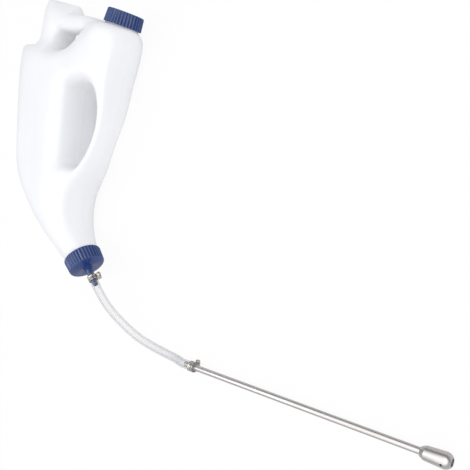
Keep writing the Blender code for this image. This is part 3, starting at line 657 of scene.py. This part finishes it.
def threadRidge(wall, crest, start, offset, place):
    # A helical ridge sunk into the wall, low at both of its ends
    sunk = wall + math.copysign(thread["root"], wall - crest)
    half, narrow = thread["baseWidth"] / 2, thread["crestWidth"] / 2
    bm = bmesh.new()
    section = [(sunk, -half), (crest, -narrow), (crest, narrow), (sunk, half)]
    verts = [bm.verts.new((radius, 0, height))
             for radius, height in softened(section, thread["soft"], steps=2)]
    loop = verts + [bm.edges.new(pair) for pair in zip(verts, verts[1:] + verts[:1])]
    steps = round(thread["steps"] * thread["turns"])
    bmesh.ops.spin(bm, geom=loop, cent=(0, 0, 0), axis=(0, 0, 1), steps=steps,
                   dvec=(0, 0, thread["pitch"] / thread["steps"]), angle=2 * math.pi * thread["turns"])
    bmesh.ops.holes_fill(bm, edges=[edge for edge in bm.edges if edge.is_boundary], sides=len(verts))
    bmesh.ops.recalc_face_normals(bm, faces=bm.faces)
    run = thread["pitch"] * thread["leadIn"] / 360
    for vert in bm.verts:
        ends = min(vert.co.z, thread["pitch"] * thread["turns"] - vert.co.z)
        share = max(0, min(1, (ends + half) / run))
        flat = Vector((vert.co.x, vert.co.y))
        low = sunk + (flat.length - sunk) * share
        vert.co.x, vert.co.y = flat.normalized() * low
    bmesh.ops.rotate(bm, cent=(0, 0, 0), matrix=Matrix.Rotation(offset, 3, "Z"), verts=bm.verts)
    bmesh.ops.translate(bm, vec=(0, 0, start + thread["pitch"] * offset / (2 * math.pi)), verts=bm.verts)
    bmesh.ops.transform(bm, matrix=place, verts=bm.verts)
    return bm


addBottle()
shellPaint = bpy.data.materials["bottle_plastic"]
for prefix, place in (("filler", fillerPlace), ("outlet", outletPlace)):
    ridge = threadRidge(neck["radius"], neck["radius"] + thread["depth"], thread["start"], 0, place)
    addPiece(prefix + "_neck_thread", ridge, shellPaint, "bottle")
print("bottle made")


def ribbedCap(place, bossed):
    # One ring of edges carried along the section: the bore, the skirt, the ribs, the end and the boss
    outer, upper, edge, skirt = cap["radius"], cap["topRadius"], cap["edge"], cap["skirt"]
    hole = nozzle["radius"] + gap
    line = [(capBore, capInside, 0), (capBore, skirt, 0), (outer - cap["ribDepth"], skirt, 0)]
    line += [(outer, skirt + rise, share) for rise, share in cap["ribFoot"]]
    line += [(upper - edge * inward, capTop - edge * down, share) for inward, down, share in cap["crown"]]
    if bossed:
        boss, step, cut, root = cap["boss"], cap["bossStep"], cap["bossCut"], cap["stepRoot"]
        shelf, end = capTop + cap["stepHeight"], capTop + cap["bossHeight"]
        line += [(boss + cap["bossRoot"], capTop, 0), (boss, capTop + cap["bossRise"], 0),
                 (boss, shelf - cut, 0), (boss - cut, shelf, 0), (step + root, shelf, 0),
                 (step, shelf + root, 0), (step, end - cut, 0), (step - cut, end, 0),
                 (hole, end, 0), (hole, capInside, 0)]
    else:
        line += [(upper * cap["dish"], capTop, 0),
                 (upper * cap["dishFloor"], capTop - cap["dishDepth"], 0)]
    bm = bmesh.new()
    around = cap["ribs"] * cap["ribSteps"]
    ring, edges = firstRing(bm, capBore, around, cap_ends=not bossed)
    first = edges
    for i, (radius, height, ribbed) in enumerate(line):
        if i:
            ring, edges = nextRing(bm, edges)
        for vert in ring:
            turn = math.atan2(vert.co.y, vert.co.x)
            valley = 1 - (.5 + .5 * math.cos(cap["ribs"] * turn)) ** cap["ribBlunt"]
            reach = radius - cap["ribDepth"] * ribbed * valley
            vert.co = (reach * math.cos(turn), reach * math.sin(turn), height)
    if bossed:
        bmesh.ops.bridge_loops(bm, edges=first + edges)
    else:
        bmesh.ops.holes_fill(bm, edges=edges, sides=around)
    bmesh.ops.recalc_face_normals(bm, faces=bm.faces)
    bmesh.ops.transform(bm, matrix=place, verts=bm.verts)
    return bm


for prefix, place in (("filler", fillerPlace), ("outlet", outletPlace)):
    capPaint = bluePlastic(prefix + "_cap_plastic", place, cap["ribs"])
    addPiece(prefix + "_cap_ribbed", ribbedCap(place, prefix == "outlet"), capPaint, prefix + "_cap",
             [prefix + "_cap"], smooth=40)
    ridge = threadRidge(capBore, capBore - thread["depth"], thread["start"] - thread["pitch"] / 2,
                        math.radians(thread["capTurn"]), place)
    addPiece(prefix + "_cap_thread", ridge, capPaint, prefix + "_cap")
    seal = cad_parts[prefix + "_seal"]
    seal.data.materials.clear()
    seal.data.materials.append(bpy.data.materials.get("seal_foam") or sealFoam())


def addNozzle():
    reach, radius, bore = capTop + nozzle["reach"], nozzle["radius"], nozzle["bore"]
    flange = capBore - thread["depth"] - 2 * gap
    flangeTop, tip, thin = flangeBase + cap["flange"], reach + nozzle["spigot"], hoseShape["bore"] - gap
    root, start = thin * nozzle["barbRoot"], nozzle["barbStart"]
    line = [(bore, flangeBase), (flange, flangeBase), (flange, flangeTop), (radius, flangeTop),
            (radius, reach), (root, reach)]
    for i in range(nozzle["barbs"]):
        low = reach + start + (nozzle["spigot"] - start) * i / nozzle["barbs"]
        high = reach + start + (nozzle["spigot"] - start) * (i + 1) / nozzle["barbs"]
        line += [(root, low), (thin, low + nozzle["barbFront"]), (thin, low + nozzle["barbEnd"]),
                 (root, high - nozzle["barbBack"])]
    line += [(thin * nozzle["mouth"], tip), (bore, tip)]
    bm = turnedSolid(softened(line, nozzle["soft"]), closed=True, place=outletPlace)
    addPiece("barbed_nozzle", bm, bluePlastic("nozzle_plastic", outletPlace), "outlet_nozzle",
             ["outlet_nozzle"])


addNozzle()
print("caps and nozzle made")


def clampBand(place):
    # The slotted band: a ring of strips with the worm's slots left open, then given its thickness
    inner, half, around = hoseShape["radius"] + gap, clamp["width"] / 2, clamp["bandSteps"]
    heights, lean = [half * share for share in clamp["bandRows"]], clamp["holeLean"]
    bm = bmesh.new()
    ring, edges = firstRing(bm, inner, around)
    bmesh.ops.translate(bm, vec=(0, 0, heights[0]), verts=ring)
    for low, high in zip(heights, heights[1:]):
        ring, edges = nextRing(bm, edges)
        bmesh.ops.translate(bm, vec=(0, 0, high - low), verts=ring)
        turn = Matrix.Rotation((high - low) * lean, 3, "Z")
        bmesh.ops.rotate(bm, cent=(0, 0, 0), matrix=turn, verts=ring)
    holes = []
    for face in bm.faces:
        spot = face.calc_center_median()
        turn = math.atan2(spot.y, spot.x) - spot.z * lean
        hollow = round(turn / (2 * math.pi) * around) % clamp["holeEvery"] < clamp["holeSteps"]
        if hollow and abs(spot.z) < half * clamp["holeReach"] and spot.x < inner * clamp["holesTo"]:
            holes.append(face)
    bmesh.ops.delete(bm, geom=holes, context="FACES")
    bmesh.ops.recalc_face_normals(bm, faces=bm.faces)
    # The two edges are rolled a little outwards
    for vert in bm.verts:
        if abs(vert.co.z) > half * clamp["rollFrom"]:
            vert.co.x, vert.co.y = Vector((vert.co.x, vert.co.y)) * (1 + clamp["roll"] / inner)
    bmesh.ops.transform(bm, matrix=place, verts=bm.verts)
    return bm


def clampHousing(place):
    # A bent strip over the worm, its section drawn out along the screw, with a plate at each end
    foot, ridge, wall = clampSeat + gap, clampSeat + clamp["housingRise"], clamp["housingWall"]
    half, reach, room = clamp["housingWidth"] / 2, clamp["housingLength"] / 2, clamp["screw"] + gap
    flat, shoulder = clamp["housingFlat"], clamp["housingShoulder"]

    def arch(shrink):
        side, top = half - shrink, ridge + clamp["housingHeight"] - shrink
        low = top - clamp["housingSag"]
        return softened([(foot, -side), (low, -side * shoulder), (top, -side * flat), (top, side * flat),
                         (low, side * shoulder), (foot, side)], clamp["housingBend"], steps=4)

    def drawn(outline, start, length):
        solid = bmesh.new()
        face = solid.faces.new([solid.verts.new((x, start, z)) for x, z in outline])
        made = bmesh.ops.extrude_face_region(solid, geom=[face])["geom"]
        ends = [g for g in made if isinstance(g, bmesh.types.BMVert)]
        bmesh.ops.translate(solid, vec=(0, length, 0), verts=ends)
        bmesh.ops.recalc_face_normals(solid, faces=solid.faces)
        return solid

    bm = drawn(arch(0) + arch(wall)[::-1], -reach, 2 * reach)
    for side in (-1, 1):
        hole = turnedSolid([(0, -2 * reach), (room, -2 * reach), (room, 2 * reach), (0, 2 * reach)],
                           steps=32, place=screwPlace(Matrix.Identity(4)))
        plate = loose("plate", cutFrom(drawn(arch(wall / 2), side * reach, -side * wall), [hole]))
        bm.from_mesh(plate.data)
        bpy.data.objects.remove(plate)
    bmesh.ops.transform(bm, matrix=place, verts=bm.verts)
    return bm


def screwPlace(place):
    return place @ Matrix.Translation((screwHeight, 0, 0)) @ Matrix.Rotation(math.radians(-90), 4, "X")


def clampScrew(place):
    # The worm screw: a slotted round head on a threaded shank
    near, turns = clamp["housingLength"] / 2 + gap, clamp["turns"]
    top, shank, wide = near + clamp["headLength"], clamp["screw"], clamp["head"]
    line = [(0, -near - clamp["tip"]), (shank * clamp["tipShare"], -near - clamp["tip"]),
            (shank, -near - clamp["tipCut"]), (shank, -near)]
    for i in range(turns):
        low, high = -near + 2 * near * i / turns, -near + 2 * near * (i + 1) / turns
        radii = (shank, shank * clamp["root"], shank * clamp["root"], shank)
        line += [(radius, low + (high - low) * share) for radius, share in zip(radii, clamp["flanks"])]
    line += [(shank, near), (wide, near), (wide, top - clamp["headCut"]),
             (wide * clamp["headFace"], top - clamp["headSag"]), (0, top)]
    bm = turnedSolid(softened(line, clamp["soft"], steps=2), steps=48)
    slot = bmesh.new()
    bmesh.ops.create_cube(slot, size=1)
    bmesh.ops.scale(slot, vec=(wide * 3, clamp["slotWidth"], clamp["slotDepth"] * 2), verts=slot.verts)
    bmesh.ops.translate(slot, vec=(0, 0, top), verts=slot.verts)
    bm = cutFrom(bm, [slot])
    bmesh.ops.transform(bm, matrix=screwPlace(place), verts=bm.verts)
    return bm


def addClamp(prefix, centre, axis, turn, body):
    place = axisPlace(centre, axis) @ Matrix.Rotation(math.radians(turn), 4, "Z")
    metal = steel(prefix + "_clamp_steel", place, clampTint, rough=.20, lines=(30, 30, 900))
    band = addPiece(prefix + "_band_slotted", clampBand(place), metal, None,
                    [prefix + "_clamp_band"])
    wall = band.modifiers.new("wall", "SOLIDIFY")
    wall.thickness = clamp["band"]
    wall.offset = 1
    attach(applied(band), body)
    addPiece(prefix + "_housing_bent", clampHousing(place), metal, body,
             [prefix + "_clamp_housing"])
    addPiece(prefix + "_worm_screw", clampScrew(place), metal, prefix + "_clamp_screw",
             [prefix + "_clamp_screw"])


clampBack = clamp["inset"] + clamp["width"] / 2
addClamp("upper", hoseStart + outletAxis * clampBack, outletAxis, clamp["upperTurn"], "outlet_nozzle")
addClamp("lower", hoseEnd - probeAxis * clampBack, probeAxis, clamp["lowerTurn"], "probe")
print("clamps made")


def addProbe():
    metal = steel("probe_steel", probePlace, probeTint, rough=.27, lines=(700, 700, 6))
    outer, inner, back = probe["radius"], probe["radius"] - probe["wall"], -hoseShape["grip"]
    socketEnd = probe["length"] + probe["socket"]
    end = socketEnd - gap
    line = [(inner, back), (outer, back), (outer, end), (inner, end), (inner, back)]
    tube = turnedSolid(softened(line, probe["tubeSoft"])[:-1], steps=72, closed=True, place=probePlace)
    addPiece("probe_tube_drawn", tube, metal, "probe", ["probe_tube"])

    rear, front, dome = probe["length"], probe["length"] + probe["tip"], probe["dome"]
    hole, radius, rearRadius = probe["hole"], probe["tipRadius"], probe["rearRadius"]
    socket = outer + gap
    line = softened([(hole, socketEnd), (socket, socketEnd), (socket, rear),
                     (rearRadius - probe["chamferCut"], rear), (rearRadius, rear + probe["chamfer"]),
                     (radius, front - dome)], probe["tipSoft"])
    # The rounded nose, down to a wider bore at the hole
    last, lip, sunk = math.radians(probe["domeTurn"]), hole + probe["lip"], front - probe["sink"]
    for i in range(probe["domeSteps"]):
        turn = last * (i + 1) / probe["domeSteps"]
        line.append((radius * math.cos(turn), front - dome + dome * math.sin(turn) / math.sin(last)))
    line += [(lip, front - probe["lipCut"]), (lip, sunk), (hole, sunk - probe["sinkCut"])]
    tip = turnedSolid(line, steps=96, closed=True, place=probePlace)
    side, long = probe["sideHole"], probe["drill"]
    drillPlace = (probePlace @ Matrix.Translation((0, 0, front - probe["sideHoleBack"]))
                  @ Matrix.Rotation(math.radians(probe["sideHoleTurn"]), 4, "Z")
                  @ Matrix.Rotation(math.radians(90), 4, "X"))
    drill = turnedSolid([(0, -long), (side, -long), (side, long), (0, long)], steps=32, place=drillPlace)
    addPiece("probe_tip_turned", cutFrom(tip, [drill]), metal, "probe", ["probe_tip"],
             smooth=30)


addProbe()
print("probe made")


# Floor, light and surroundings: a bright white tent, open at its sides
studio = dict(floor=8.0, floorDepth=.0004, floorTone=.93, floorRough=.9, floorGlow=.93, floorGloss=.65,
              sky=.81, skyTint=(.975, .98, 1.0), roof=1.3,
              wallDark=.20, wallPale=.50, wallLow=.45, wallHigh=.75, wallFrom=-.5, wallTo=.3,
              keyPower=5, keySize=.8, keyPlace=(-.75, -.25, 1.75),
              fillPower=7, fillSize=1.2, fillPlace=(1.15, -.3, 1.55), aim=(.15, -.1, 0))


def lightPath(paint):
    # 1 for the rays that show the background: seen straight, in a mirror or through something clear
    rays = [paint.node("ShaderNodeLightPath", out=name)
            for name in ("Is Camera Ray", "Is Glossy Ray", "Is Transmission Ray")]
    return (rays[0] + rays[1] + rays[2]).between(0, 1)


def addFloor():
    bm = bmesh.new()
    bmesh.ops.create_grid(bm, x_segments=1, y_segments=1, size=studio["floor"])
    bmesh.ops.translate(bm, vec=(0, 0, -studio["floorDepth"]), verts=bm.verts)
    floor = loose("floor", bm)
    tone = studio["floorTone"]
    paint = Paint("floor_white", Roughness=studio["floorRough"], Base_Color=(tone, tone, tone, 1))
    glossy = paint.node("ShaderNodeLightPath", out="Is Glossy Ray")
    glow = paint.node("ShaderNodeEmission", None,
                      {"Color": (1, 1, 1, 1), "Strength": 1 - glossy * (1 - studio["floorGloss"])})
    share = lightPath(paint) * studio["floorGlow"]
    mixed = paint.node("ShaderNodeMixShader", None,
                       {0: share, 1: Wire(paint, paint.shader.outputs[0]), 2: glow})
    paint.feed(paint.tree.nodes["Material Output"].inputs["Surface"], mixed)
    floor.data.materials.append(paint.material)


def addWorld():
    world = bpy.data.worlds.new("studio")
    bpy.context.scene.world = world
    world.use_nodes = True
    paint = Nodes(world.node_tree)
    background = world.node_tree.nodes["Background"]
    seen = lightPath(paint)
    # In gloss the tent is brightest overhead and open at the sides, darker behind the bottle's top
    toward = paint.node("ShaderNodeTexCoord", out="Generated")
    side = paint.part(toward, 1).between(studio["wallFrom"], studio["wallTo"])
    wall = studio["wallPale"] + side * (studio["wallDark"] - studio["wallPale"])
    overhead = paint.part(toward, 2).between(studio["wallLow"], studio["wallHigh"])
    glossy = paint.node("ShaderNodeLightPath", out="Is Glossy Ray")
    white = 1 - glossy * (1 - wall - overhead * (studio["roof"] - wall))
    paint.feed(background.inputs["Color"], paint.mixed(seen, (*studio["skyTint"], 1), (1, 1, 1, 1)))
    paint.feed(background.inputs["Strength"], seen * white + (1 - seen) * studio["sky"])


def addLight(name, place, power, size):
    data = bpy.data.lights.new(name, "AREA")
    data.shape = "DISK"
    data.size = size
    data.energy = power
    light = bpy.data.objects.new(name, data)
    light.location = place
    aim = Vector(studio["aim"]) - light.location
    light.rotation_euler = aim.to_track_quat("-Z", "Y").to_euler()
    bpy.context.scene.collection.objects.link(light)


addFloor()
addWorld()
addLight("key", studio["keyPlace"], studio["keyPower"], studio["keySize"])
addLight("fill", studio["fillPlace"], studio["fillPower"], studio["fillSize"])
bpy.context.scene.view_settings.view_transform = "Standard"

print("scene done")
